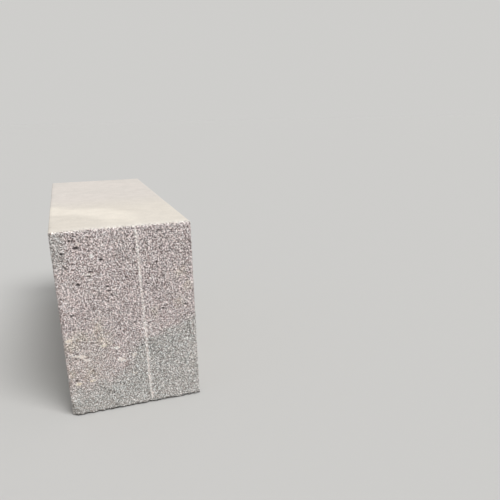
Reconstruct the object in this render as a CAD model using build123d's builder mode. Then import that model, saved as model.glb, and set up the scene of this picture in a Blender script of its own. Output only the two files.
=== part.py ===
from build123d import *
import os

# A solid block of cellular concrete, as cut and stacked for a masonry wall.
# +X runs along the wall, +Y across it and +Z up it. The origin is the middle of the bed face.
# The near end is at -X. Seen from outside it, its left arris is at +Y.
# All sizes are in millimetres.

# Driving dimensions of the block
length = 588.0
thickness = 200.0
height = 288.0
arris_wear = 1.2

# The corner knocked off the near end, at the foot of its left arris
broken_corner_reach = 30.0
broken_corner_depth = 5.5

# Places on the near end are given as distances across from its left arris and up from the bed.
# A negative one is measured back from the right arris or down from the top.

# Chips along the arrises of the near end, each as (place of its middle, reach to each side)
chip_depth = 2.2
left_arris_chips = [(38, 6), (59, 4), (75, 5), (107, 6), (130, 8), (-137, 4), (-113, 5)]
bed_arris_chips = [(51, 8), (88, 4), (-44, 6), (-12, 5)]
top_arris_chips = [(27, 5), (46, 4), (-91, 6)]

# Blowholes and crevices torn open by the near end, each as
# (across, up, width, height, depth, tilt in degrees), and the share of the mouth that the floor has
blowholes = [
    (33, -25, 8.5, 4.5, 3.4, 0),
    (14, -32, 6, 3.5, 2.8, 0),
    (66, -45, 6.5, 3.5, 2.8, 0),
    (31, -79, 7, 4.5, 3.0, -20),
    (71, -86, 5.5, 3.5, 2.8, 0),
    (-49, -9, 5.5, 3.5, 2.6, 0),
    (33, -8, 7, 2.6, 2.2, 0),
    (26, -14, 4.5, 3.5, 2.2, 30),
    (51, -31, 5, 3, 2.4, 0),
    (16, -52, 9, 2.6, 2.4, -50),
    (50, -61, 8, 2.6, 2.2, 0),
    (47, -68, 9, 2.4, 2.2, 0),
    (73, -93, 7, 3, 2.2, 0),
    (99, -75, 6.5, 3, 2.2, 0),
    (76, -100, 5, 3, 2.2, 0),
    (-70, -89, 5.5, 3, 2.6, 0),
    (-51, -131, 5, 3.5, 2.8, 0),
    (-16, -129, 5, 3, 2.4, 0),
    (17.5, -125, 8, 2.6, 2.8, 5),
    (-95, 140, 5.5, 3, 2.6, 0),
    (80, 123, 5.5, 3, 2.6, 0),
    (12.5, 58, 6.5, 4.5, 3.4, 0),
    (32, 60, 5, 3, 2.2, 0),
    (48, 39, 11, 2.6, 1.8, 0),
    (58, 34, 5, 3, 2.4, 0),
    (63, 28, 5.5, 2.6, 2.2, -10),
    (65, 7, 4.5, 4, 2.4, 0),
    (74, 11, 5, 2.4, 1.8, 0),
    (-59, 45, 5, 3, 2.2, 0),
    (-83, 16, 4.5, 3, 2.0, 0),
]
blowhole_floor_share = 0.45

# Places that follow from the sizes
near_end = -length / 2
left_side = thickness / 2
cut_overshoot = 1.0


def across_face(distance):
    """The Y of a place that lies this far across the near end."""
    return left_side - distance if distance >= 0 else -left_side - distance


def up_face(distance):
    """The Z of a place that lies this far up the near end."""
    return distance if distance >= 0 else height + distance


def chip(middle, along, outward, reach, depth):
    """A shallow scoop for an arris: a lens turned about a line that runs outside the arris.

    The line stands off by the scoop's depth, which makes the bottom of the scoop nearly flat.
    """
    turning_line = middle + outward * depth
    lens_plane = Plane(origin=turning_line, x_dir=along, z_dir=along.cross(outward))
    with BuildPart() as scoop:
        with BuildSketch(lens_plane):
            with BuildLine():
                ThreePointArc((-reach, 0), (0, 2 * depth), (reach, 0))
                Line((reach, 0), (-reach, 0))
            make_face()
        revolve(axis=Axis(turning_line, along))
    return scoop.part


def left_arris_chip(up, reach, depth):
    """A chip on the near end's left arris."""
    middle = Vector(near_end, left_side, up_face(up))
    return chip(middle, Vector(0, 0, 1), Vector(-1, 1, 0).normalized(), reach, depth)


def level_arris_chip(across, level, outward_z, reach, depth):
    """A chip on the near end's bed or top arris."""
    middle = Vector(near_end, across_face(across), level)
    return chip(middle, Vector(0, 1, 0), Vector(-1, 0, outward_z).normalized(), reach, depth)


def blowhole(across, up, width, tall, depth, tilt):
    """An open bubble in the near end: an oval that narrows evenly from the mouth to the floor."""
    centre = (near_end, across_face(across), up_face(up))
    mouth = Plane(origin=centre, x_dir=(0, -1, 0), z_dir=(-1, 0, 0))
    overshoot_share = 1 + (1 - blowhole_floor_share) * cut_overshoot / depth
    with BuildPart() as bubble:
        for level, share in ((cut_overshoot, overshoot_share), (-depth, blowhole_floor_share)):
            with BuildSketch(mouth.offset(level)):
                Ellipse(share * width / 2, share * tall / 2, rotation=tilt)
        loft()
    return bubble.part


cutters = [left_arris_chip(0, broken_corner_reach, broken_corner_depth)]
cutters += [left_arris_chip(up, reach, chip_depth) for up, reach in left_arris_chips]
cutters += [level_arris_chip(across, 0, -1, reach, chip_depth) for across, reach in bed_arris_chips]
cutters += [level_arris_chip(across, height, 1, reach, chip_depth) for across, reach in top_arris_chips]
cutters += [blowhole(*place) for place in blowholes]

with BuildPart() as block:
    with BuildSketch(Plane.YZ.offset(near_end)):
        Rectangle(thickness, height, align=(Align.CENTER, Align.MIN))
    extrude(amount=length)
    chamfer(block.edges(), arris_wear)
    for cutter in cutters:
        add(cutter, mode=Mode.SUBTRACT)
block.part.label = "block"

os.makedirs("parts", exist_ok=True)
export_step(block.part, "parts/block.step")
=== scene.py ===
import itertools
import math

import bpy
import numpy as np
from mathutils import Matrix, Vector
from mathutils.geometry import delaunay_2d_cdt


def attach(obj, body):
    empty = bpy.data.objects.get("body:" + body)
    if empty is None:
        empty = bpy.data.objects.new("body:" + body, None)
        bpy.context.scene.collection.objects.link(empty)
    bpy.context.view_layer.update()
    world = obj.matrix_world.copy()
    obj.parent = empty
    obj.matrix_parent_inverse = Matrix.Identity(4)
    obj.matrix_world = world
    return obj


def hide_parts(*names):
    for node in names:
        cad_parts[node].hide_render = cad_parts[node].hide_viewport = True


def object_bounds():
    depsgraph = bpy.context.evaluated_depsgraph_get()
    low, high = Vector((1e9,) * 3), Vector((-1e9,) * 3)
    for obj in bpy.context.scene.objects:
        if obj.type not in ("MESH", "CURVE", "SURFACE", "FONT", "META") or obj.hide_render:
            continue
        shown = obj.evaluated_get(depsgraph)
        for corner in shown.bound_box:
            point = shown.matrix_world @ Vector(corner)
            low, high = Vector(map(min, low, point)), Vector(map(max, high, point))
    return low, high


# A block of cellular concrete with torn, open-pored ends, the near one weathered, on a plain floor.
# Shapes are worked out in millimetres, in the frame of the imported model, and stored in metres.
MM = 0.001

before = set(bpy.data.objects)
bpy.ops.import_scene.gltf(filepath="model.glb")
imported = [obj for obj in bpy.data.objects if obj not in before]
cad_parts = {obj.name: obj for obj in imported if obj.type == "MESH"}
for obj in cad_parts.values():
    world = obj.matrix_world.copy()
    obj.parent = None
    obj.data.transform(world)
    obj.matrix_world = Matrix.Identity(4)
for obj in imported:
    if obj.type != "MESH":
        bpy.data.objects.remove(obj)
cad_low, cad_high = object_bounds()
LOW = np.array(cad_low) / MM
HIGH = np.array(cad_high) / MM
CENTRE = (LOW + HIGH) / 2
HALF = (HIGH - LOW) / 2
THICKNESS, HEIGHT = (HIGH - LOW)[1:]

# Every arris is worn as far as the solid's flat there, but rounded. ROUNDED_OFF is about how deep the
# round lies under the sharp arris, and TURNING_ZONE how far in from it the relief's direction turns.
ARRIS_WEAR = 1.2
ARRIS_RADIUS = ARRIS_WEAR * (1 + math.sqrt(0.5))
ROUNDED_OFF = 0.4 * ARRIS_RADIUS
TURNING_ZONE = 10.0
ROUNDING_STEPS = 6

# Distances between vertices: even on the two ends, and growing from the arrises inwards elsewhere
NEAR_END_SPACING = 1.06
FAR_END_SPACING = 1.85
ARRIS_SPACING = 1.3
OPEN_SPACING = 11.0
SPACING_GROWTH = 0.55

# Vertices lie in the middles of squares that split down to the spacing, moved at random. These are
# shares of the spacing or of a square's side.
SPLIT_BELOW = 0.75
RANDOM_MOVE = 0.3
KEPT_OFF_ARRIS = 0.5

# Points that are closer than this are one point, in millimetres and in decimals
SAME_POINT = 1e-7
SAME_POINT_DECIMALS = 3

# The torn skin of the ends: open bubbles no deeper in than END_SKIN, one to a cell of a jittered
# lattice, the larger ones rarer
BUBBLE_LATTICE = 2.4
BUBBLE_RADII = (0.75, 1.35)
COARSE_LATTICE = 8.0
COARSE_RADII = (1.4, 2.6)
SMALL_BUBBLE_BIAS = 1.5
NO_BUBBLE = 1e-9
END_SKIN = 2.2

# The share of cells with a large bubble, and the share added near the top left of the near end, which
# fades out over these distances up and across
COARSE_SHARE = 0.09
COARSE_SHARE_ADDED = 0.3
COARSE_CORNER_UP = (120, 260)
COARSE_CORNER_ACROSS = (70, 150)

# How far in from an end's face its torn skin fades into the smooth sides
TORN_FADE = (0.5, 7)

# The near end is roughest at its top and right and calmest at its foot, and uneven in patches
ROUGHNESS_AT_TOP = 1.03
ROUGHNESS_AT_BED = 0.5
ROUGHER_RIGHT = 0.16
ROUGHER_ACROSS = (40, 110)
ROUGHNESS_PATCHES = 0.12
ROUGHNESS_PATCH_SIZE = 40
FAR_END_ROUGHNESS = 0.6

# Slow swells of every face, and its grain, which is coarser where it is torn
SWELL_DEPTH = 0.25
SWELL_SIZE = 55
SMOOTH_GRAIN = 0.06
TORN_GRAIN = 0.24
GRAIN_SIZE = 2.1
GRAIN_ON_BREAKS = 0.5

# Small crumbs lost along every arris: millimetres between them, reach to each side and depth
CRUMB_SPACING = 12.0
NEAR_END_CRUMB_SPACING = 4.2
CRUMB_REACHES = (1.5, 5.0)
CRUMB_DEPTHS = (0.4, 2.0)
NEAR_END_CRUMB_DEPTHS = (0.8, 2.8)
CRUMB_GIRTH = 1.8

# Sparse open pores of the smooth faces, as (how many, radii). Small ones are the commonest.
SMOOTH_FACE_PITS = {
    "left": (130, (0.9, 2.4)),
    "right": (130, (0.9, 2.4)),
    "top": (60, (0.6, 1.3)),
    "bed": (90, (0.9, 2.2)),
}
SMALL_PIT_BIAS = 2.5

# A pore's depth, the ground it keeps clear of other vertices, and its gaps to the next pore and to
# the arrises, as shares of radii. The rings that carry it are (share of its radius, vertices).
PIT_DEPTHS = (0.9, 1.5)
PIT_GROUND = 1.7
PIT_GAP = 1.8
PIT_MARGIN = 2.2
PIT_RINGS = ((0.55, 5), (0.86, 8), (1.06, 9), (1.4, 7))
PIT_RING_TURN = 9

# The pale trickle down the near end, as (across, up) points, and its width
TRICKLE = [
    (117.5, 288),
    (119, 262),
    (118.6, 215),
    (120, 175),
    (120.4, 120),
    (120, 70),
    (121, 30),
    (122.5, 6),
]
TRICKLE_WIDTH = 4.3
FAINT_TRICKLE = [(36, 142), (36.5, 118), (36, 88)]
FAINT_TRICKLE_WIDTH = 2.2
FAINT_TRICKLE_SHARE = 0.5

# How solid a trickle is, and how much more so near the top. It fades at its sides, over shares of
# its half width, and past its foot and head.
TRICKLE_SOLIDITY = 0.74
TRICKLE_SOLIDITY_ADDED = 0.2
SOLID_FROM_UP = (150, 230)
TRICKLE_SIDES = (0.3, 1.3)
TRICKLE_FOOT = (-2, 3)
TRICKLE_HEAD = (-2, 2)

# How a trickle wavers, how solid it is and how wide, each noise as (strength, size, seed)
TRICKLE_BENDS = [(0.5, 18, 61), (0.3, 5, 62)]
TRICKLE_FLECKS = [(0.2, 3, 64), (0.15, 30, 66)]
TRICKLE_SWELLING = [(0.35, 7, 63)]

# Pale scrapes on the near end, each as (across, up, width, height, tilt in degrees, how pale, how
# yellow), and where their ragged outline fades, as shares of their half size
SCRAPES = [
    (8, 125.5, 14, 5.6, 5, 1.0, 0.55),
    (22, 98, 19, 4.4, -12, 1.0, 0.2),
    (29, 92, 13, 3.2, -22, 0.85, 0.1),
    (57, 110, 8, 3, 0, 0.7, 0.6),
    (76, 104, 10, 3.4, -5, 0.9, 0.2),
    (80, 83, 11, 5, -10, 1.0, 0.1),
    (100, 88, 7, 5, 20, 0.9, 0.1),
    (99, 57, 9, 2.6, -20, 0.7, 0.2),
    (14, 53.5, 11, 3.6, 0, 0.95, 0.8),
    (34, 55.5, 9, 3, 10, 0.7, 0.7),
    (37.5, 269, 7, 4, 20, 0.8, 0.1),
    (53, 250.5, 6, 5, 0, 0.9, 0.0),
    (71, 264, 6, 4, 30, 0.6, 0.0),
    (45, 223, 10, 3, -5, 0.7, 0.1),
]
SCRAPE_FADE = (0.7, 1.4)
RAGGEDNESS = 0.35
RAGGED_SIZE = 5

# Straw-coloured stains on the near end, each as (across, up, reach), which are fainter and more ragged
STAINS = [
    (52, 140, 12),
    (58, 120, 12),
    (26, 130, 14),
    (10, 118, 14),
    (8, 70, 8),
    (34, 68, 11),
    (180, 210, 12),
    (190, 190, 10),
    (176, 163, 10),
    (135, 153, 9),
]
STAIN_STRENGTH = 0.32
STAIN_FADE = (0.0, 1.3)
STAIN_RAGGEDNESS = 1.6

# What pale marks do: they stand out a little from the face, fill its cells and calm its grain
PALE_HEIGHT = 0.5
PALE_FILLS_CELLS = 0.6
PALE_CALMS_GRAIN = 0.75

# The corner knocked off the near end, at the foot of its left arris
BROKEN_CORNER_REACH = 30.0
BROKEN_CORNER_DEPTH = 5.5

# Places on the near end are given as distances across from its left arris and up from the bed.
# A negative one is measured back from the right arris or down from the top.

# Chips along the arrises of the near end, each as (place of its middle, reach to each side)
CHIP_DEPTH = 2.2
LEFT_ARRIS_CHIPS = [(38, 6), (59, 4), (75, 5), (107, 6), (130, 8), (-137, 4), (-113, 5)]
BED_ARRIS_CHIPS = [(51, 8), (88, 4), (-44, 6), (-12, 5)]
TOP_ARRIS_CHIPS = [(27, 5), (46, 4), (-91, 6)]

# Blowholes and crevices torn open by the near end, each as
# (across, up, width, height, depth, tilt in degrees)
BLOWHOLES = [
    (33, -25, 8.5, 4.5, 3.4, 0),
    (14, -32, 6, 3.5, 2.8, 0),
    (66, -45, 6.5, 3.5, 2.8, 0),
    (31, -79, 7, 4.5, 3.0, -20),
    (71, -86, 5.5, 3.5, 2.8, 0),
    (-49, -9, 5.5, 3.5, 2.6, 0),
    (33, -8, 7, 2.6, 2.2, 0),
    (26, -14, 4.5, 3.5, 2.2, 30),
    (51, -31, 5, 3, 2.4, 0),
    (16, -52, 9, 2.6, 2.4, -50),
    (50, -61, 8, 2.6, 2.2, 0),
    (47, -68, 9, 2.4, 2.2, 0),
    (73, -93, 7, 3, 2.2, 0),
    (99, -75, 6.5, 3, 2.2, 0),
    (76, -100, 5, 3, 2.2, 0),
    (-70, -89, 5.5, 3, 2.6, 0),
    (-51, -131, 5, 3.5, 2.8, 0),
    (-16, -129, 5, 3, 2.4, 0),
    (17.5, -125, 8, 2.6, 2.8, 5),
    (-95, 140, 5.5, 3, 2.6, 0),
    (80, 123, 5.5, 3, 2.6, 0),
    (12.5, 58, 6.5, 4.5, 3.4, 0),
    (32, 60, 5, 3, 2.2, 0),
    (48, 39, 11, 2.6, 1.8, 0),
    (58, 34, 5, 3, 2.4, 0),
    (63, 28, 5.5, 2.6, 2.2, -10),
    (65, 7, 4.5, 4, 2.4, 0),
    (74, 11, 5, 2.4, 1.8, 0),
    (-59, 45, 5, 3, 2.2, 0),
    (-83, 16, 4.5, 3, 2.0, 0),
]

# How dark the painted shade in the blowholes at the foot of the near end is, beside those at its top,
# and between which heights that changes
FAINTNESS_AT_FOOT = 0.45
DARKER_FROM_UP = (60, 200)

# Seeds of the random draws and fields
DRAWS_SEED = 7
SWELL_SEED = 11
GRAIN_SEED = 23
BUBBLE_SEED = 31
COARSE_SEED = 41
RAGGED_SEED = 65
ROUGHNESS_SEED = 71

# The lattice hash: a multiplier for each axis, one for the seed, and its steps of shift and multiplier
AXIS_PRIMES = np.array([73856093, 19349663, 83492791], np.int64)
SEED_PRIME = 2654435761
HASH_STEPS = ((13, 1274126177), (16, 2246822519))
LAST_SHIFT = 15
WORD_MASK = 0xFFFFFFFF
VALUE_MASK = 0xFFFFFF


# Random numbers


def hashed(cells, seed):
    """Random values from 0 to 1 for lattice cells: the same each time for a cell and seed."""
    mixed = (cells * AXIS_PRIMES).sum(-1) + seed * SEED_PRIME
    for shift, multiplier in HASH_STEPS:
        mixed = (mixed ^ (mixed >> shift)) * multiplier & WORD_MASK
    mixed = mixed ^ (mixed >> LAST_SHIFT)
    return (mixed & VALUE_MASK) / VALUE_MASK


def noise(points, size, seed):
    """Smooth random values from -1 to 1 whose swells are about size across."""
    grid = points / size
    cells = np.floor(grid).astype(np.int64)
    part = smooth(grid - cells)
    total = np.zeros(len(points))
    for corner in itertools.product((0, 1), repeat=3):
        weight = np.where(corner, part, 1 - part).prod(1)
        total += weight * hashed(cells + np.array(corner), seed)
    return 2 * total - 1


def fractal(points, size, octaves, seed):
    """Noise with finer and fainter swells added."""
    total = np.zeros(len(points))
    for octave in range(octaves):
        total += noise(points, size / 2**octave, seed + octave) / 2**octave
    return total


def with_noises(value, points, noises):
    """A value with noises added, each given as (strength, size, seed)."""
    for strength, size, seed in noises:
        value = value + strength * noise(points, size, seed)
    return value


def smooth(part):
    """A share from 0 to 1, eased in and out."""
    return part * part * (3 - 2 * part)


def ramp(value, start, end):
    """0 before start, 1 after end and smooth between them."""
    return smooth(np.clip((value - start) / (end - start), 0, 1))


# Faces and their points


class Face:
    """One side of the block: a rectangle with a corner, two directions and an outward normal."""

    def __init__(self, name, corner, across, up):
        self.name = name
        self.corner = CENTRE + np.array(corner) * HALF
        self.across = np.array(across, float)
        self.up = np.array(up, float)
        self.normal = np.cross(self.across, self.up)
        size = 2 * HALF
        self.width = abs(self.across @ size)
        self.height = abs(self.up @ size)

    def place(self, flat):
        """Points of the face, given as distances across and up it, in space."""
        return self.corner + flat[:, :1] * self.across + flat[:, 1:] * self.up

    def edge_distance(self, flat):
        """How far points of the face lie from its nearest arris."""
        far_side = np.array([self.width, self.height]) - flat
        return np.minimum(flat, far_side).min(1)

    def spacing(self, flat):
        """The distance wanted between vertices round points of the face."""
        even = {"near_end": NEAR_END_SPACING, "far_end": FAR_END_SPACING}.get(self.name)
        if even:
            return np.full(len(flat), even)
        grown = ARRIS_SPACING + SPACING_GROWTH * np.maximum(self.edge_distance(flat), 0)
        return np.minimum(grown, OPEN_SPACING)


FACES = {
    face.name: face
    for face in (
        Face("near_end", (-1, 1, -1), (0, -1, 0), (0, 0, 1)),
        Face("far_end", (1, -1, -1), (0, 1, 0), (0, 0, 1)),
        Face("left", (1, 1, -1), (-1, 0, 0), (0, 0, 1)),
        Face("right", (-1, -1, -1), (1, 0, 0), (0, 0, 1)),
        Face("top", (-1, -1, 1), (1, 0, 0), (0, 1, 0)),
        Face("bed", (-1, 1, -1), (1, 0, 0), (0, -1, 0)),
    )
}


def arris_points(face):
    """The points along a face's four arrises, evenly spaced so that two faces share them."""
    corners = np.array([(0, 0), (face.width, 0), (face.width, face.height), (0, face.height)])
    found = []
    for start, end in zip(corners, np.roll(corners, -1, 0)):
        middle = face.place((start + end)[None] / 2)[0]
        on_near_end = abs(middle[0] - LOW[0]) < ARRIS_RADIUS
        spacing = NEAR_END_SPACING if on_near_end else ARRIS_SPACING
        count = math.ceil(np.linalg.norm(end - start) / spacing)
        steps = np.arange(count)[:, None] / count
        found.append(start + (end - start) * steps)
    return np.concatenate(found)


def graded_points(face, random):
    """Points inside a face, from squares that split until they are as small as the spacing there."""
    finest = face.spacing(np.zeros((1, 2)))[0]
    size = finest * 2 ** math.ceil(math.log2(2 * OPEN_SPACING / finest))
    columns, rows = math.ceil(face.width / size), math.ceil(face.height / size)
    grid = np.stack(np.meshgrid(np.arange(columns), np.arange(rows)), -1).reshape(-1, 2)
    squares = (grid + 0.5) * size
    kept = []
    while len(squares):
        split = face.spacing(squares) < size * SPLIT_BELOW
        move = random.uniform(-RANDOM_MOVE, RANDOM_MOVE, squares[~split].shape) * size
        kept.append(squares[~split] + move)
        quarters = np.array([(-1, -1), (1, -1), (-1, 1), (1, 1)]) * size / 4
        squares = (squares[split][:, None] + quarters).reshape(-1, 2)
        size /= 2
    points = np.concatenate(kept)
    inside = face.edge_distance(points) > face.spacing(points) * KEPT_OFF_ARRIS
    return points[inside]


def scattered_pits(face, count, radii, random):
    """Sparse open pores of a smooth face, as (across, up, radius, depth)."""
    margin = radii[1] * PIT_MARGIN
    across = random.uniform(margin, face.width - margin, count)
    up = random.uniform(margin, face.height - margin, count)
    radius = radii[0] + (radii[1] - radii[0]) * random.uniform(0, 1, count) ** SMALL_PIT_BIAS
    depth = radius * random.uniform(*PIT_DEPTHS, count)
    kept = []
    for pit in zip(across, up, radius, depth):
        if all(math.dist(pit[:2], other[:2]) > PIT_GAP * (pit[2] + other[2]) for other in kept):
            kept.append(pit)
    return kept


def pit_rings(pits):
    """Rings of points that carry each pit: its floor, its wall, its rim and the flat round it."""
    found = [np.zeros((0, 2))]
    for across, up, radius, _ in pits:
        found.append([(across, up)])
        for share, count in PIT_RINGS:
            angles = np.arange(count) * 2 * math.pi / count + share * PIT_RING_TURN
            ring = np.stack([np.cos(angles), np.sin(angles)], 1)
            found.append((across, up) + radius * share * ring)
    return np.concatenate(found)


def clear_of(points, pits):
    """The points that lie outside every pit's rings."""
    keep = np.ones(len(points), bool)
    for across, up, radius, _ in pits:
        keep &= np.hypot(points[:, 0] - across, points[:, 1] - up) > radius * PIT_GROUND
    return points[keep]


def triangulate(flat):
    """Triangles, as rows of three indices, that join flat points."""
    made = delaunay_2d_cdt([Vector(point) for point in flat.tolist()], [], [], 0, SAME_POINT, False)
    return np.array(made[2])


# Relief


class Bubbles:
    """Balls and stretched balls missing from the block, each with a middle and three half sizes."""

    def __init__(self):
        self.rows = []

    def add(self, middle, halves, turn=np.eye(3)):
        self.rows.append((np.array(middle, float), np.array(halves, float), turn))

    def depth(self, points, inward):
        """How far each point's inward line runs before it leaves every bubble it starts in."""
        deepest = np.zeros(len(points))
        for middle, halves, turn in self.rows:
            near = np.abs(points - middle).max(1) < halves.max()
            if near.any():
                start = (points[near] - middle) @ turn / halves
                line = inward[near] @ turn / halves
                deepest[near] = np.maximum(deepest[near], ball_exit(start, line))
        return deepest


def ball_exit(start, line):
    """How far a line from inside a unit ball runs before it leaves it, or 0 if it starts outside."""
    a = (line * line).sum(1)
    b = (start * line).sum(1)
    c = (start * start).sum(1) - 1
    return np.where(c < 0, (np.sqrt(np.maximum(b * b - a * c, 0)) - b) / a, 0)


def lattice_depth(points, inward, size, radii, share_at, seed):
    """The depth of bubbles one to a cell of a jittered lattice, in a share of the cells."""
    deepest = np.zeros(len(points))
    home = np.floor(points / size).astype(np.int64)
    for step in itertools.product((-1, 0, 1), repeat=3):
        cells = home + np.array(step)
        jitter = np.stack([hashed(cells, seed + axis) for axis in range(3)], 1)
        middles = (cells + jitter) * size
        chance = hashed(cells, seed + 3)
        largeness = hashed(cells, seed + 4) ** SMALL_BUBBLE_BIAS
        radius = radii[0] + (radii[1] - radii[0]) * largeness
        radius = np.where(chance < share_at(middles), radius, NO_BUBBLE)[:, None]
        deepest = np.maximum(deepest, ball_exit((points - middles) / radius, inward / radius))
    return deepest


def face_place(points):
    """How far points lie across the near end from its left arris, and how far up from the bed."""
    return HIGH[1] - points[:, 1], points[:, 2] - LOW[2]


def on_near_half(points):
    """1 on the half of the block towards its near end, else 0."""
    return np.where(points[:, 0] < 0, 1, 0)


def end_distance(points):
    """How far points lie in from the nearer end."""
    return np.minimum(points[:, 0] - LOW[0], HIGH[0] - points[:, 0])


def in_end_skin(points):
    """1 for bubbles near enough to an end face to be torn open by it, else 0."""
    return np.where(end_distance(points) < END_SKIN, 1, 0)


def coarse_share(points):
    """The share of cells with a large bubble, which is highest at the top left of the near end."""
    across, up = face_place(points)
    corner = ramp(up, *COARSE_CORNER_UP) * (1 - ramp(across, *COARSE_CORNER_ACROSS))
    return in_end_skin(points) * (COARSE_SHARE + COARSE_SHARE_ADDED * corner * on_near_half(points))


def rounded(points):
    """The block's surface with rounded arrises, and the way inwards, for points of its sharp box."""
    core = np.clip(points, LOW + TURNING_ZONE, HIGH - TURNING_ZONE)
    inward = core - points
    inward /= np.linalg.norm(inward, axis=1)[:, None]
    surface = points.copy()
    for _ in range(ROUNDING_STEPS):
        over = np.maximum(np.abs(surface - CENTRE) - (HALF - ARRIS_RADIUS), 0)
        gap = np.linalg.norm(over, axis=1) - ARRIS_RADIUS
        surface += inward * np.maximum(gap, 0)[:, None]
    return surface, inward


def chips():
    """The near end's chips and broken corner: stretched bubbles that stand outside its arrises."""
    found = Bubbles()

    def chip(corner, outward, along, reach, depth):
        """A bubble whose middle stands depth outside an arris and which reaches depth below it."""
        outward = np.array(outward) / np.linalg.norm(outward)
        halves = np.where(np.array(along) == 1, reach, 2 * depth)
        found.add(np.array(corner) + outward * depth, halves)

    near, left = LOW[0], HIGH[1]
    chip((near, left, 0), (-1, 1, 0), (0, 0, 1), BROKEN_CORNER_REACH, BROKEN_CORNER_DEPTH)
    for up, reach in LEFT_ARRIS_CHIPS:
        chip((near, left, up % HEIGHT), (-1, 1, 0), (0, 0, 1), reach, CHIP_DEPTH)
    for across, reach in BED_ARRIS_CHIPS:
        chip((near, left - across % THICKNESS, LOW[2]), (-1, 0, -1), (0, 1, 0), reach, CHIP_DEPTH)
    for across, reach in TOP_ARRIS_CHIPS:
        chip((near, left - across % THICKNESS, HIGH[2]), (-1, 0, 1), (0, 1, 0), reach, CHIP_DEPTH)
    return found


def blowholes():
    """The blowholes and crevices that the photograph shows in the near end."""
    found = Bubbles()
    face = FACES["near_end"]
    for across, up, width, height, depth, tilt in BLOWHOLES:
        middle = face.place(np.array([[across % THICKNESS, up % HEIGHT]], float))[0]
        turn = np.array(Matrix.Rotation(math.radians(-tilt), 3, "X"))
        found.add(middle, (depth, width / 2, height / 2), turn)
    return found


def crumbs(random):
    """Small chips at random along all twelve arrises, as balls that stand a little outside them."""
    found = Bubbles()
    for axis in range(3):
        for signs in itertools.product((-1, 1), repeat=2):
            outward = np.insert(np.array(signs, float), axis, 0) / math.sqrt(2)
            on_near_end = axis != 0 and signs[0] == -1
            depths = NEAR_END_CRUMB_DEPTHS if on_near_end else CRUMB_DEPTHS
            spacing = NEAR_END_CRUMB_SPACING if on_near_end else CRUMB_SPACING
            for along in random.uniform(-1, 1, int(2 * HALF[axis] / spacing)):
                share = random.uniform() ** 2
                reach = CRUMB_REACHES[0] + (CRUMB_REACHES[1] - CRUMB_REACHES[0]) * share
                depth = depths[0] + (depths[1] - depths[0]) * share
                corner = np.insert(np.array(signs, float), axis, along) * HALF + CENTRE
                halves = np.full(3, ROUNDED_OFF + CRUMB_GIRTH * depth)
                halves[axis] = reach
                found.add(corner + outward * (halves.min() - depth - ROUNDED_OFF), halves)
    return found


def trickle_at(points, path, width):
    """How solid a trickle down the near end is at each point: most in its middle, 0 at its sides."""
    across, up = face_place(points)
    stops = sorted(path, key=lambda stop: stop[1])
    foot, head = stops[0][1], stops[-1][1]
    middle = np.interp(up, [stop[1] for stop in stops], [stop[0] for stop in stops])
    middle += with_noises(0, points, TRICKLE_BENDS)
    inside = ramp(up - foot, *TRICKLE_FOOT) * (1 - ramp(up - head, *TRICKLE_HEAD))
    solid = with_noises(TRICKLE_SOLIDITY, points, TRICKLE_FLECKS)
    solid = solid + TRICKLE_SOLIDITY_ADDED * ramp(up, *SOLID_FROM_UP)
    half_width = width / 2 * with_noises(1, points, TRICKLE_SWELLING)
    sideways = np.abs(across - middle) / half_width
    return solid * inside * (1 - ramp(sideways, *TRICKLE_SIDES))


def near_end_marks(points):
    """How pale and how yellow the near end is from its trickles, scrapes and stains."""
    across, up = face_place(points)
    faint = FAINT_TRICKLE_SHARE * trickle_at(points, FAINT_TRICKLE, FAINT_TRICKLE_WIDTH)
    pale = np.maximum(trickle_at(points, TRICKLE, TRICKLE_WIDTH), faint)
    yellow = np.zeros(len(points))
    ragged = RAGGEDNESS * fractal(points, RAGGED_SIZE, 2, RAGGED_SEED)
    for middle, level, width, height, tilt, paleness, yellowness in SCRAPES:
        cos, sin = math.cos(math.radians(tilt)), math.sin(math.radians(tilt))
        x, y = across - middle, up - level
        along, over = x * cos + y * sin, y * cos - x * sin
        outward = np.hypot(along / (width / 2), over / (height / 2))
        mark = 1 - ramp(outward + ragged, *SCRAPE_FADE)
        pale = np.maximum(pale, paleness * mark)
        yellow = np.maximum(yellow, yellowness * mark)
    for middle, level, reach in STAINS:
        outward = np.hypot(across - middle, up - level) / reach
        mark = 1 - ramp(outward + STAIN_RAGGEDNESS * ragged, *STAIN_FADE)
        yellow = np.maximum(yellow, STAIN_STRENGTH * mark)
    return pale, yellow


def end_roughness(points):
    """How rough the two ends are, about 1 at the roughest."""
    across, up = face_place(points)
    roughness = ROUGHNESS_AT_BED + (ROUGHNESS_AT_TOP - ROUGHNESS_AT_BED) * (up / HEIGHT)
    patches = ROUGHNESS_PATCHES * noise(points, ROUGHNESS_PATCH_SIZE, ROUGHNESS_SEED)
    roughness *= 1 + patches + ROUGHER_RIGHT * ramp(across, *ROUGHER_ACROSS)
    return np.where(on_near_half(points), roughness, FAR_END_ROUGHNESS)


def torn_cells(points, inward):
    """How deep the open bubbles of the ends' torn skin are."""
    fine = lattice_depth(points, inward, BUBBLE_LATTICE, BUBBLE_RADII, in_end_skin, BUBBLE_SEED)
    coarse = lattice_depth(points, inward, COARSE_LATTICE, COARSE_RADII, coarse_share, COARSE_SEED)
    return np.maximum(fine, coarse)


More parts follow.
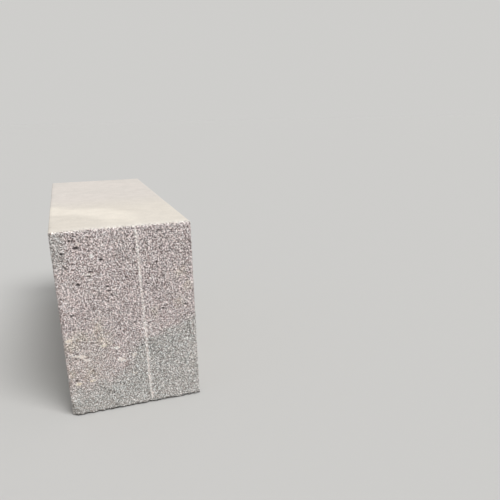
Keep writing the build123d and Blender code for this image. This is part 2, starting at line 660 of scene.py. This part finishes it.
def make_relief(points, inward, pits, random):
    """How deep the surface lies below the plain faces, and what the material reads at each point."""
    _, up = face_place(points)
    near = on_near_half(points)
    torn = 1 - ramp(end_distance(points), *TORN_FADE)
    roughness = end_roughness(points)
    pale, yellow = near_end_marks(points)
    swell = SWELL_DEPTH + SWELL_DEPTH * fractal(points, SWELL_SIZE, 3, SWELL_SEED)
    grain = SMOOTH_GRAIN + TORN_GRAIN * torn * roughness
    grain = grain * (1 + noise(points, GRAIN_SIZE, GRAIN_SEED))
    tearing = torn_cells(points, inward) * roughness * (1 - PALE_FILLS_CELLS * pale)
    holes = blowholes().depth(points, inward)
    # The painted shade in the blowholes is fainter at the foot; the pores carry painted shade as well
    darkness = FAINTNESS_AT_FOOT + (1 - FAINTNESS_AT_FOOT) * ramp(up, *DARKER_FROM_UP)
    broken = np.maximum(chips().depth(points, inward), crumbs(random).depth(points, inward))
    pores = pits.depth(points, inward)
    opened = np.maximum.reduce([tearing, holes, pores])
    relief = np.maximum(opened + swell + grain, broken + GRAIN_ON_BREAKS * grain)
    marks = {
        "opened": tearing,
        "hole": np.maximum(holes * darkness, pores),
        "torn": torn,
        "roughness": torn * roughness * (1 - PALE_CALMS_GRAIN * pale * near),
        "pale": pale * torn * near,
        "yellow": yellow * torn * near,
    }
    return np.maximum(relief - PALE_HEIGHT * marks["pale"], 0), marks


# The block


def face_mesh(face, pits, random):
    """A face's points in space and the triangles that join them. Its own pores are added to pits."""
    own_pits = []
    if face.name in SMOOTH_FACE_PITS:
        own_pits = scattered_pits(face, *SMOOTH_FACE_PITS[face.name], random)
    for across, up, radius, depth in own_pits:
        halves = radius + (depth - radius) * np.abs(face.normal)
        pits.add(face.place(np.array([[across, up]]))[0], halves)
    inner = clear_of(graded_points(face, random), own_pits)
    flat = np.concatenate([arris_points(face), inner, pit_rings(own_pits)])
    return face.place(flat), triangulate(flat)


def block_mesh():
    """One closed mesh: every face's points, joined along the arrises and pushed in by the relief."""
    random = np.random.default_rng(DRAWS_SEED)
    points, triangles, count = [], [], 0
    pits = Bubbles()
    for face in FACES.values():
        face_points, face_triangles = face_mesh(face, pits, random)
        points.append(face_points)
        triangles.append(face_triangles + count)
        count += len(face_points)
    points, triangles = np.concatenate(points), np.concatenate(triangles)
    keys = np.round(points, SAME_POINT_DECIMALS)
    _, first, where = np.unique(keys, axis=0, return_index=True, return_inverse=True)
    points, triangles = points[first], where.reshape(-1)[triangles]
    surface, inward = rounded(points)
    relief, marks = make_relief(surface, inward, pits, random)
    mesh = bpy.data.meshes.new("concrete_block")
    sunk = surface + inward * relief[:, None]
    mesh.from_pydata((sunk * MM).tolist(), [], triangles.tolist())
    for name, values in marks.items():
        attribute = mesh.attributes.new(name, "FLOAT", "POINT")
        attribute.data.foreach_set("value", values.astype(np.float32))
    mesh.polygons.foreach_set("use_smooth", [True] * len(triangles))
    mesh.update()
    return mesh


def make_block():
    """The block itself, in place of the solid."""
    block = bpy.data.objects.new("concrete_block", block_mesh())
    block.data.materials.append(concrete_material())
    bpy.context.scene.collection.objects.link(block)
    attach(block, "root")
    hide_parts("block")


# Materials


def rgb(red, green, blue):
    """An opaque colour."""
    return (red, green, blue, 1.0)


class Nodes:
    """A short way to write a material's node tree."""

    def __init__(self, name):
        self.material = bpy.data.materials.new(name)
        self.material.use_nodes = True
        self.tree = self.material.node_tree
        self.shader = self.tree.nodes["Principled BSDF"]

    def add(self, kind, settings=None, **inputs):
        """A new node, with its settings and with what its named inputs are fed."""
        node = self.tree.nodes.new("ShaderNode" + kind)
        for key, value in (settings or {}).items():
            setattr(node, key, value)
        for key, value in inputs.items():
            self.feed(node.inputs[key], value)
        return node

    def feed(self, socket, value):
        """Link a socket to another one's output, or set it to a number or colour."""
        if isinstance(value, bpy.types.NodeSocket):
            self.tree.links.new(value, socket)
        else:
            socket.default_value = value

    def attribute(self, name):
        return self.add("Attribute", {"attribute_name": name}).outputs["Fac"]

    def math(self, operation, first, second=0.0):
        node = self.add("Math", {"operation": operation})
        self.feed(node.inputs[0], first)
        self.feed(node.inputs[1], second)
        return node.outputs[0]

    def plus(self, first, second):
        return self.math("ADD", first, second)

    def minus(self, first, second):
        return self.math("SUBTRACT", first, second)

    def times(self, first, second):
        return self.math("MULTIPLY", first, second)

    def larger(self, first, second):
        return self.math("MAXIMUM", first, second)

    def smaller(self, first, second):
        return self.math("MINIMUM", first, second)

    def weighted(self, factor, weight):
        """factor where weight is 1, 1 where weight is 0."""
        return self.plus(1.0, self.times(weight, self.minus(factor, 1.0)))

    def between(self, value, low, high, out_low=0.0, out_high=1.0):
        """value's place from low to high, smoothed, as a number from out_low to out_high."""
        node = self.add("MapRange", {"interpolation_type": "SMOOTHSTEP"}, Value=value)
        for socket, number in zip(node.inputs[1:5], (low, high, out_low, out_high)):
            socket.default_value = number
        return node.outputs["Result"]

    def span(self, length, ends, out_low=0.0, out_high=1.0):
        """As between, for a length and two ends that are given in millimetres."""
        return self.between(length, ends[0] * MM, ends[1] * MM, out_low, out_high)

    def noise(self, place, scale, detail, roughness):
        """Noise whose swells are about 1/scale metres across, from 0 to 1."""
        node = self.add("TexNoise", Vector=place, Scale=scale, Detail=detail, Roughness=roughness)
        return node.outputs["Fac"]

    def field(self, place, field, out_low=0.0, out_high=1.0):
        """A noise, given as (scale, detail, roughness, low, high), from out_low to out_high."""
        scale, detail, roughness, low, high = field
        return self.between(self.noise(place, scale, detail, roughness), low, high, out_low, out_high)

    def wander(self, place, field, reach):
        """A noise that swings between two lengths, which are given in millimetres."""
        return self.field(place, field, reach[0] * MM, reach[1] * MM)

    def cells(self, place, scale):
        """Random cells about 1/scale metres across: the distance from each middle and its own value."""
        node = self.add("TexVoronoi", Vector=place, Scale=scale)
        value = self.add("SeparateColor", Color=node.outputs["Color"]).outputs[0]
        return node.outputs["Distance"], value

    def stretched(self, place, squeeze):
        """Places squeezed along x, y and z, on which a noise comes out that much longer."""
        node = self.add("Mapping", Vector=place)
        node.inputs["Scale"].default_value = squeeze
        return node.outputs[0]

    def mix(self, share, first, second, blend="MIX"):
        node = self.add("Mix", {"data_type": "RGBA", "blend_type": blend, "clamp_factor": True})
        self.feed(node.inputs[0], share)
        self.feed(node.inputs[6], first)
        self.feed(node.inputs[7], second)
        return node.outputs[2]

    def tinted(self, colour, tint):
        return self.mix(1.0, colour, tint, "MULTIPLY")

    def scaled(self, colour, factor):
        node = self.add("VectorMath", {"operation": "SCALE"})
        self.feed(node.inputs[0], colour)
        self.feed(node.inputs["Scale"], factor)
        return node.outputs[0]

    def together(self, first, second):
        """The sum of two colours or places."""
        node = self.add("VectorMath", {"operation": "ADD"})
        self.feed(node.inputs[0], first)
        self.feed(node.inputs[1], second)
        return node.outputs[0]


# Colours come alone, or in pairs that a surface is mottled with. Lengths are in millimetres. Fields
# are noises, each as (swells to a metre, detail, roughness, value taken as none, value taken as all).

# The torn ends are purplish grey, and greenish grey where they are damp: below an edge that rises
# from the left arris to the right, and beside the left arris near the top
TORN_PURPLES = (rgb(0.480, 0.402, 0.389), rgb(0.497, 0.424, 0.406))
TORN_GREENS = (rgb(0.392, 0.380, 0.355), rgb(0.425, 0.406, 0.380))
PURPLE_FIELD = (30, 3.0, 0.55, 0.35, 0.65)
GREEN_FIELD = (22, 3.0, 0.55, 0.35, 0.65)
DAMP_EDGE_UP = 24
DAMP_EDGE_SLOPE = 0.62
DAMP_EDGE_FADE = (-18, 18)
DAMP_EDGE_FIELD = (14, 2.0, 0.55, 0.3, 0.7)
DAMP_EDGE_WANDER = (-22, 22)
DAMP_CORNER_SHARE = 0.7
DAMP_CORNER_ACROSS = (10, 26)
DAMP_CORNER_UP = (225, 250)

# Some beige at their lower left, and painted shade that darkens them towards their foot: how bright
TORN_BEIGE = rgb(0.457, 0.410, 0.358)
BEIGE_SHARE = 0.36
BEIGE_ACROSS = (35, 95)
BEIGE_UP = (115, 155)
BRIGHTNESS = (0.94, 1.055)
BRIGHTER_UP = (90, 250)

# Their stains, and their scrapes and trickles, which are paler or yellower
STRAW = rgb(0.56, 0.49, 0.35)
PALE_MARK = rgb(0.80, 0.75, 0.715)
YELLOW_MARK = rgb(0.80, 0.72, 0.57)

# The crust on top is cream, and greyer towards the back
TOP_CREAMS = (rgb(0.755, 0.698, 0.618), rgb(0.785, 0.728, 0.648))
TOP_GREYS = (rgb(0.745, 0.690, 0.640), rgb(0.720, 0.672, 0.622))
CREAM_FIELD = (9, 3.0, 0.55, 0.35, 0.65)
GREY_FIELD = (7, 3.0, 0.55, 0.4, 0.6)
GREYER_ALONG = (130, 330)

# Its brighter band lies this far back at the left, comes forward and widens towards the right, and
# ends short of the right side
BAND_COLOUR = rgb(0.875, 0.810, 0.715)
BAND_SHARE = 0.95
BAND_ALONG = 190
BAND_SLANT = 0.9
BAND_WIDENING = 0.25
BAND_FADE = (5, 65)
BAND_END_ACROSS = (112, 140)
BAND_FIELD = (11, 3.0, 0.55, 0.3, 0.7)
BAND_WANDER = (-22, 22)

# Its front rim is rubbed pale, less so at the left, with white crumbs and small dark pits
RUBBED_COLOUR = rgb(0.865, 0.805, 0.725)
RUBBED_SHARE = 0.55
RUBBED_ALONG = (8, 38)
LESS_RUBBED_SHARE = 0.5
LESS_RUBBED_ACROSS = (20, 80)
CRUMB_COLOUR = rgb(0.93, 0.89, 0.83)
CRUMBS_ALONG = (3, 26)
CRUMB_FIELD = (240, 2.0, 0.6, 0.48, 0.6)
RIM_PIT_COLOUR = rgb(0.42, 0.38, 0.36)
RIM_PITS_ALONG = (5, 24)
RIM_PIT_FIELD = (310, 2.0, 0.6, 0.57, 0.66)
RIM_SQUEEZE = (0.5, 1, 1)

# The sides are beige-grey with greener patches
SIDE_BEIGES = (rgb(0.590, 0.557, 0.515), rgb(0.540, 0.500, 0.478))
SIDE_FIELD = (8, 4.0, 0.6, 0.38, 0.62)
SIDE_GREEN = rgb(0.520, 0.512, 0.466)
SIDE_GREEN_SHARE = 0.7
SIDE_GREEN_FIELD = (5, 3.0, 0.55, 0.48, 0.65)
SIDE_GREEN_SQUEEZE = (1, 1, 0.6)

# Upright streaks darken and brighten them, in some places more than in others
STREAK_SHADES = (0.91, 1.09)
STREAK_FIELD = (85, 4.0, 0.6, 0.3, 0.7)
STREAK_SQUEEZE = (1, 1, 0.06)
STREAKED_FIELD = (7, 2.0, 0.55, 0.35, 0.65)
LEAST_STREAKED = 0.15

# Pale drips run down them from the top, some farther than others
DRIP_COLOUR = rgb(0.74, 0.70, 0.64)
DRIP_SHARE = 0.45
DRIP_FIELD = (46, 2.0, 0.4, 0.6, 0.68)
DRIP_SQUEEZE = (1, 1, 0.03)
DRIPS_UP = (200, 290)
DRIP_END_FIELD = (20, 1.0, 0.55, 0.3, 0.7)
DRIP_END_SQUEEZE = (1, 1, 0.1)
DRIP_END_WANDER = (-70, 60)

# The crust's edge, down from the top: on the sides, and on the ends, over which it laps unevenly
CRUST_EDGE_ON_SIDES = (3.0, 2.2)
CRUST_EDGE_ON_ENDS = (1.0, 0.2)
CRUST_FIELD = (340, 3.0, 0.8, 0.4, 0.68)
CRUST_LAP = (-1.3, 2.8)

# How torn a place is where the ends' colours begin, and how ragged their edge is
END_EDGE = (0.42, 0.62)
END_EDGE_FIELD = (260, 3.0, 0.7, 0.3, 0.7)
END_RAGGEDNESS = (-0.4, 0.4)

# The grain of the torn ends: large and small random cells to a metre, warped a little
LARGE_CELLS = 520.0
SMALL_CELLS = 830.0
WARP_SCALE = 240.0
WARP_REACH = 0.4

# Where a cell's pit turns into its walls, as a share of the cell, and how dark the painted shade in
# the pit and how bright the painted highlight on the walls are. Each cell also has a value of its own,
# which shades or tints it.
LARGE_WALLS = (0.17, 0.57)
LARGE_SHADES = (0.1, 1.6)
SMALL_WALLS = (0.12, 0.5)
SMALL_SHADES = (0.68, 1.16)
OWN_VALUES = (0.2, 0.8)
OWN_SHADES = (0.34, 1.56)

# The large cells with the highest values are open pores, whose painted shade reaches out to a share
# of the cell
OPEN_VALUES = (0.74, 0.9)
OPEN_REACH = (0.3, 0.6)
OPEN_SHADES = (1.06, 0.3)
OPEN_WHERE_ROUGH = (0.0, 0.7)

# How much darker and brighter than the colour round them the grains of the torn ends can be, with their
# painted shade and highlights
DARKEST_GRAIN = 0.14
BRIGHTEST_GRAIN = 2.25

# Dark grains and painted shade are warmer than the colour round them, bright grains and painted
# highlights grey, and large cells differ in tint
DARK_TINT = rgb(1.09, 0.965, 0.935)
GLINT_COLOUR = rgb(0.405, 0.41, 0.418)
GLINT_SHARE = 0.85
WARM_TINT = rgb(1.04, 0.98, 0.96)
COOL_TINT = rgb(0.97, 1.01, 1.02)

# Painted shade in open bubbles and holes: how dark they are from one depth to another
OPENED_DEPTHS = (0.3, 2.2)
OPENED_SHADES = (1.0, 0.84)
HOLE_DEPTHS = (0.3, 2.0)
HOLE_SHADES = (1.0, 0.3)

# A painted contact shadow darkens the foot of the block up to an uneven height
FOOT_SHADOW_FIELD = (150, 3.0, 0.55, 0.3, 0.7)
FOOT_SHADOW_TOP = (0.0, 3.0)
FOOT_SHADOW_FADE = (0.3, 2.6)
FOOT_SHADOW_SHADES = (0.32, 1.0)

# Fine and wide unevenness of every colour
MOTTLE_FIELD = (330, 4.0, 0.6, 0.25, 0.75)
MOTTLE_SHADES = (0.955, 1.045)
CLOUD_FIELD = (45, 4.0, 0.65, 0.3, 0.7)
CLOUD_SHADES = (0.965, 1.035)

# The bumps: how much the large and small cells and the fine grit count for, the grit's noise as
# (swells to a metre, detail, roughness), and the height of it all in metres
LARGE_BUMPS = 0.6
SMALL_BUMPS = 0.4
GRIT_BUMPS = 0.15
GRIT = (900, 3.0, 0.6)
BUMP_HEIGHT = 0.0011
CONCRETE_ROUGHNESS = 0.92


def end_colour(n, place, across, up):
    """The torn ends: purplish grey above a slanting edge, greenish grey below it, with marks."""
    wandering_up = n.plus(up, n.wander(place, DAMP_EDGE_FIELD, DAMP_EDGE_WANDER))
    edge = n.plus(n.times(across, DAMP_EDGE_SLOPE), DAMP_EDGE_UP * MM)
    damp = n.span(n.minus(wandering_up, edge), DAMP_EDGE_FADE, 1.0, 0.0)
    near_left = n.span(across, DAMP_CORNER_ACROSS, DAMP_CORNER_SHARE, 0.0)
    corner = n.times(near_left, n.span(up, DAMP_CORNER_UP))
    beige_across = n.span(across, BEIGE_ACROSS, BEIGE_SHARE, 0.0)
    beige = n.times(beige_across, n.span(wandering_up, BEIGE_UP, 1.0, 0.0))
    purple = n.mix(beige, n.mix(n.field(place, PURPLE_FIELD), *TORN_PURPLES), TORN_BEIGE)
    green = n.mix(n.field(place, GREEN_FIELD), *TORN_GREENS)
    body = n.mix(n.larger(damp, corner), purple, green)
    # Painted shade: darker towards the foot, brighter towards the top
    body = n.scaled(body, n.span(up, BRIGHTER_UP, *BRIGHTNESS))
    stained = n.mix(n.attribute("yellow"), body, STRAW)
    pale = n.mix(n.attribute("yellow"), PALE_MARK, YELLOW_MARK)
    return n.mix(n.attribute("pale"), stained, pale)


def top_band(n, place, along, across):
    """How much of the top's brighter band is at a place."""
    slant = n.plus(n.times(across, BAND_SLANT), along)
    wander = n.wander(place, BAND_FIELD, BAND_WANDER)
    off_middle = n.math("ABSOLUTE", n.minus(n.plus(slant, wander), BAND_ALONG * MM))
    off_band = n.minus(off_middle, n.times(across, BAND_WIDENING))
    short_of_right = n.span(across, BAND_END_ACROSS, 1.0, 0.0)
    return n.times(n.span(off_band, BAND_FADE, BAND_SHARE, 0.0), short_of_right)


def rubbed_rim(n, place, along, across, body):
    """The top's colour with its rubbed front rim, crumbs and pits."""
    rubbed = n.span(across, LESS_RUBBED_ACROSS, LESS_RUBBED_SHARE, 1.0)
    pale = n.times(n.span(along, RUBBED_ALONG, RUBBED_SHARE, 0.0), rubbed)
    body = n.mix(pale, body, RUBBED_COLOUR)
    squeezed = n.stretched(place, RIM_SQUEEZE)
    crumbs = n.times(n.span(along, CRUMBS_ALONG, 1.0, 0.0), rubbed)
    body = n.mix(n.times(crumbs, n.field(squeezed, CRUMB_FIELD)), body, CRUMB_COLOUR)
    pits = n.span(along, RIM_PITS_ALONG, 1.0, 0.0)
    return n.mix(n.times(pits, n.field(squeezed, RIM_PIT_FIELD)), body, RIM_PIT_COLOUR)


def top_colour(n, place, along, across):
    """The crust on top: cream, brighter in a slanting band near the front and greyer at the back."""
    cream = n.mix(n.field(place, CREAM_FIELD), *TOP_CREAMS)
    grey = n.mix(n.field(place, GREY_FIELD), *TOP_GREYS)
    body = n.mix(n.span(along, GREYER_ALONG), cream, grey)
    body = n.mix(top_band(n, place, along, across), body, BAND_COLOUR)
    return rubbed_rim(n, place, along, across, body)


def side_colour(n, place, up):
    """The sides: beige-grey in soft patches, with faint upright streaks and pale drips at the top."""
    body = n.mix(n.field(place, SIDE_FIELD), *SIDE_BEIGES)
    green = n.field(n.stretched(place, SIDE_GREEN_SQUEEZE), SIDE_GREEN_FIELD, 0.0, SIDE_GREEN_SHARE)
    body = n.mix(green, body, SIDE_GREEN)
    streaks = n.field(n.stretched(place, STREAK_SQUEEZE), STREAK_FIELD, *STREAK_SHADES)
    streaked = n.field(place, STREAKED_FIELD, LEAST_STREAKED, 1.0)
    body = n.scaled(body, n.weighted(streaks, streaked))
    drips = n.field(n.stretched(place, DRIP_SQUEEZE), DRIP_FIELD)
    wander = n.wander(n.stretched(place, DRIP_END_SQUEEZE), DRIP_END_FIELD, DRIP_END_WANDER)
    drips = n.times(drips, n.span(n.plus(up, wander), DRIPS_UP, 0.0, DRIP_SHARE))
    return n.mix(drips, body, DRIP_COLOUR)


def face_colour(n, place, up, torn):
    """The colour of the top, the ends or the sides, whichever a place belongs to."""
    axes = n.add("SeparateXYZ", Vector=place)
    along = n.minus(axes.outputs["X"], LOW[0] * MM)
    across = n.minus(HIGH[1] * MM, axes.outputs["Y"])
    lap = n.wander(place, CRUST_FIELD, CRUST_LAP)
    crust = n.span(n.plus(up, lap), [HEIGHT - down for down in CRUST_EDGE_ON_ENDS])
    on_top = n.larger(n.span(up, [HEIGHT - down for down in CRUST_EDGE_ON_SIDES]), crust)
    ragged = n.field(place, END_EDGE_FIELD, *END_RAGGEDNESS)
    on_end = n.times(n.between(n.plus(torn, ragged), *END_EDGE), n.minus(1.0, crust))
    body = n.mix(on_top, side_colour(n, place, up), top_colour(n, place, along, across))
    return n.mix(on_end, body, end_colour(n, place, across, up))


class Grain:
    """The torn ends' grain cells, with painted shade in their pits and painted highlight on their
    walls.
    """

    def __init__(self, n, place):
        warp = n.add("TexNoise", Vector=place, Scale=WARP_SCALE, Detail=2.0).outputs["Color"]
        warped = n.together(place, n.scaled(warp, WARP_REACH * MM))
        self.large, self.large_value = n.cells(warped, LARGE_CELLS)
        small, self.small_value = n.cells(warped, SMALL_CELLS)
        self.large_walls = n.between(self.large, *LARGE_WALLS)
        self.small_walls = n.between(small, *SMALL_WALLS)

    def shade(self, n, rough):
        """Each grain's tone, with painted shade in pits and open pores and painted highlight on walls.
        """
        shade = n.between(self.small_value, *OWN_VALUES, *OWN_SHADES)
        shade = n.times(shade, n.between(self.large_walls, 0, 1, *LARGE_SHADES))
        shade = n.times(shade, n.between(self.small_walls, 0, 1, *SMALL_SHADES))
        is_open = n.between(self.large_value, *OPEN_VALUES)
        is_open = n.times(is_open, n.between(self.large, *OPEN_REACH, 1.0, 0.0))
        open_shade = n.between(is_open, 0, 1, *OPEN_SHADES)
        open_shade = n.weighted(open_shade, n.between(rough, *OPEN_WHERE_ROUGH))
        shade = n.times(n.weighted(shade, rough), open_shade)
        return n.smaller(n.larger(shade, DARKEST_GRAIN), BRIGHTEST_GRAIN)

    def tint(self, n):
        """The tint of each large cell."""
        return n.mix(n.between(self.large_value, *OWN_VALUES), WARM_TINT, COOL_TINT)

    def bumps(self, n, place, rough):
        """The height of the grain and the finest grit."""
        walls = n.plus(n.times(self.large_walls, LARGE_BUMPS), n.times(self.small_walls, SMALL_BUMPS))
        grit = n.times(n.noise(place, *GRIT), GRIT_BUMPS)
        return n.plus(n.times(walls, rough), grit)


def grained(n, colour, shade):
    """A colour with grain tone, painted shade and highlight: warmer where darker, greyer where it
    glints.
    """
    lit = n.smaller(shade, 1.0)
    glint = n.larger(n.minus(shade, 1.0), 0.0)
    shaded = n.mix(lit, n.tinted(colour, DARK_TINT), colour)
    glinting = n.mix(GLINT_SHARE, colour, GLINT_COLOUR)
    return n.together(n.scaled(shaded, lit), n.scaled(glinting, glint))


def hollow_shade(n, place, up):
    """The painted shade that darkens open bubbles and holes, and the painted contact shadow at the
    foot.
    """
    opened = n.between(n.attribute("opened"), *OPENED_DEPTHS, *OPENED_SHADES)
    hole = n.between(n.attribute("hole"), *HOLE_DEPTHS, *HOLE_SHADES)
    # Painted contact shadow along the foot of the block
    above_foot_shadow = n.minus(up, n.wander(place, FOOT_SHADOW_FIELD, FOOT_SHADOW_TOP))
    foot_shadow = n.span(above_foot_shadow, FOOT_SHADOW_FADE, *FOOT_SHADOW_SHADES)
    return n.times(n.times(opened, hole), foot_shadow)


def concrete_material():
    """Cellular concrete: cream top, beige-grey sides, grained torn ends; painted shade in pits and at
    the foot.
    """
    n = Nodes("cellular_concrete")
    place = n.add("TexCoord").outputs["Object"]
    up = n.minus(n.add("SeparateXYZ", Vector=place).outputs["Z"], LOW[2] * MM)
    torn, rough = n.attribute("torn"), n.attribute("roughness")
    grain = Grain(n, place)
    body = face_colour(n, place, up, torn)
    body = n.mix(torn, body, n.tinted(body, grain.tint(n)))
    body = n.scaled(grained(n, body, grain.shade(n, rough)), hollow_shade(n, place, up))
    mottle = n.field(place, MOTTLE_FIELD, *MOTTLE_SHADES)
    clouds = n.field(place, CLOUD_FIELD, *CLOUD_SHADES)
    n.feed(n.shader.inputs["Base Color"], n.scaled(body, n.times(mottle, clouds)))
    bumps = grain.bumps(n, place, rough)
    bump = n.add("Bump", Strength=1.0, Distance=BUMP_HEIGHT, Height=bumps)
    n.feed(n.shader.inputs["Normal"], bump.outputs["Normal"])
    n.shader.inputs["Roughness"].default_value = CONCRETE_ROUGHNESS
    return n.material


# Floor, light and camera

FLOOR_REACH = 30.0
FLOOR_COLOUR = rgb(0.60, 0.595, 0.58)
FLOOR_ROUGHNESS = 0.9
BACKDROP_COLOUR = rgb(0.62, 0.615, 0.60)
SKY_COLOUR = rgb(1, 1, 1)

# The key light: degrees it stands round from straight before the near end (towards the left side if
# positive), degrees up, width in degrees and level. The sky's level is an all-round fill.
KEY_TURN = -28.0
KEY_ELEVATION = 54.0
KEY_WIDTH = 30.0
KEY_LEVEL = 2.16
SKY_LEVEL = 0.45

# The photograph's camera, found from the block's corners in it: where it stands, in millimetres from
# the near end's left arris at the bed, and how it turns, in degrees
CAMERA_BEFORE_FACE = 759.9
CAMERA_RIGHT_OF_ARRIS = 33.8
CAMERA_HEIGHT = 441.9
CAMERA_TURN_RIGHT = 19.59
CAMERA_PITCH = -17.77
CAMERA_ROLL = 0.93
FOCAL_PIXELS = 525.9
IMAGE_PIXELS = 500.0
SENSOR_WIDTH = 36.0
NEAREST_SEEN = 0.01

# The pixel in which the lens's axis meets the picture, right of its middle and below it
AXIS_COLUMN = 258.0
AXIS_ROW = 280.0


def make_floor():
    material = Nodes("floor")
    material.shader.inputs["Base Color"].default_value = FLOOR_COLOUR
    material.shader.inputs["Roughness"].default_value = FLOOR_ROUGHNESS
    corners = [(x * FLOOR_REACH, y * FLOOR_REACH, 0) for x, y in ((-1, -1), (1, -1), (1, 1), (-1, 1))]
    mesh = bpy.data.meshes.new("floor")
    mesh.from_pydata(corners, [], [(0, 1, 2, 3)])
    mesh.materials.append(material.material)
    floor = bpy.data.objects.new("floor", mesh)
    bpy.context.scene.collection.objects.link(floor)


def make_surroundings():
    """A white sky that lights the block, and a plain backdrop that cameras and reflections see."""
    world = bpy.data.worlds.new("studio")
    world.use_nodes = True
    nodes, links = world.node_tree.nodes, world.node_tree.links
    sky = nodes["Background"]
    sky.inputs["Color"].default_value = SKY_COLOUR
    sky.inputs["Strength"].default_value = SKY_LEVEL
    backdrop = nodes.new("ShaderNodeBackground")
    backdrop.inputs["Color"].default_value = BACKDROP_COLOUR
    path = nodes.new("ShaderNodeLightPath")
    seen = path.outputs["Is Camera Ray"]
    for ray in ("Is Glossy Ray", "Is Transmission Ray"):
        either = nodes.new("ShaderNodeMath")
        either.operation = "MAXIMUM"
        links.new(seen, either.inputs[0])
        links.new(path.outputs[ray], either.inputs[1])
        seen = either.outputs[0]
    choice = nodes.new("ShaderNodeMixShader")
    links.new(seen, choice.inputs[0])
    links.new(sky.outputs[0], choice.inputs[1])
    links.new(backdrop.outputs[0], choice.inputs[2])
    links.new(choice.outputs[0], nodes["World Output"].inputs["Surface"])
    bpy.context.scene.world = world


def make_key_light():
    lamp = bpy.data.lights.new("soft_key", "SUN")
    lamp.angle = math.radians(KEY_WIDTH)
    lamp.energy = KEY_LEVEL
    key = bpy.data.objects.new("soft_key", lamp)
    turn, up = math.radians(KEY_TURN), math.radians(KEY_ELEVATION)
    level = math.cos(up)
    towards = Vector((-math.cos(turn) * level, math.sin(turn) * level, math.sin(up)))
    key.rotation_euler = towards.to_track_quat("Z", "Y").to_euler()
    bpy.context.scene.collection.objects.link(key)


def make_camera():
    data = bpy.data.cameras.new("camera")
    data.sensor_width = SENSOR_WIDTH
    data.lens = FOCAL_PIXELS / IMAGE_PIXELS * data.sensor_width
    data.shift_x = 0.5 - AXIS_COLUMN / IMAGE_PIXELS
    data.shift_y = AXIS_ROW / IMAGE_PIXELS - 0.5
    data.clip_start = NEAREST_SEEN
    camera = bpy.data.objects.new("camera", data)
    turn = Matrix.Rotation(math.radians(-90 - CAMERA_TURN_RIGHT), 4, "Z")
    pitch = Matrix.Rotation(math.radians(90 + CAMERA_PITCH), 4, "X")
    roll = Matrix.Rotation(math.radians(-CAMERA_ROLL), 4, "Z")
    before, right = LOW[0] - CAMERA_BEFORE_FACE, HIGH[1] - CAMERA_RIGHT_OF_ARRIS
    place = Vector((before, right, CAMERA_HEIGHT)) * MM
    camera.matrix_world = Matrix.Translation(place) @ turn @ pitch @ roll
    bpy.context.scene.collection.objects.link(camera)
    bpy.context.scene.camera = camera


make_block()
make_floor()
make_surroundings()
make_key_light()
make_camera()
bpy.context.scene.view_settings.view_transform = "Standard"
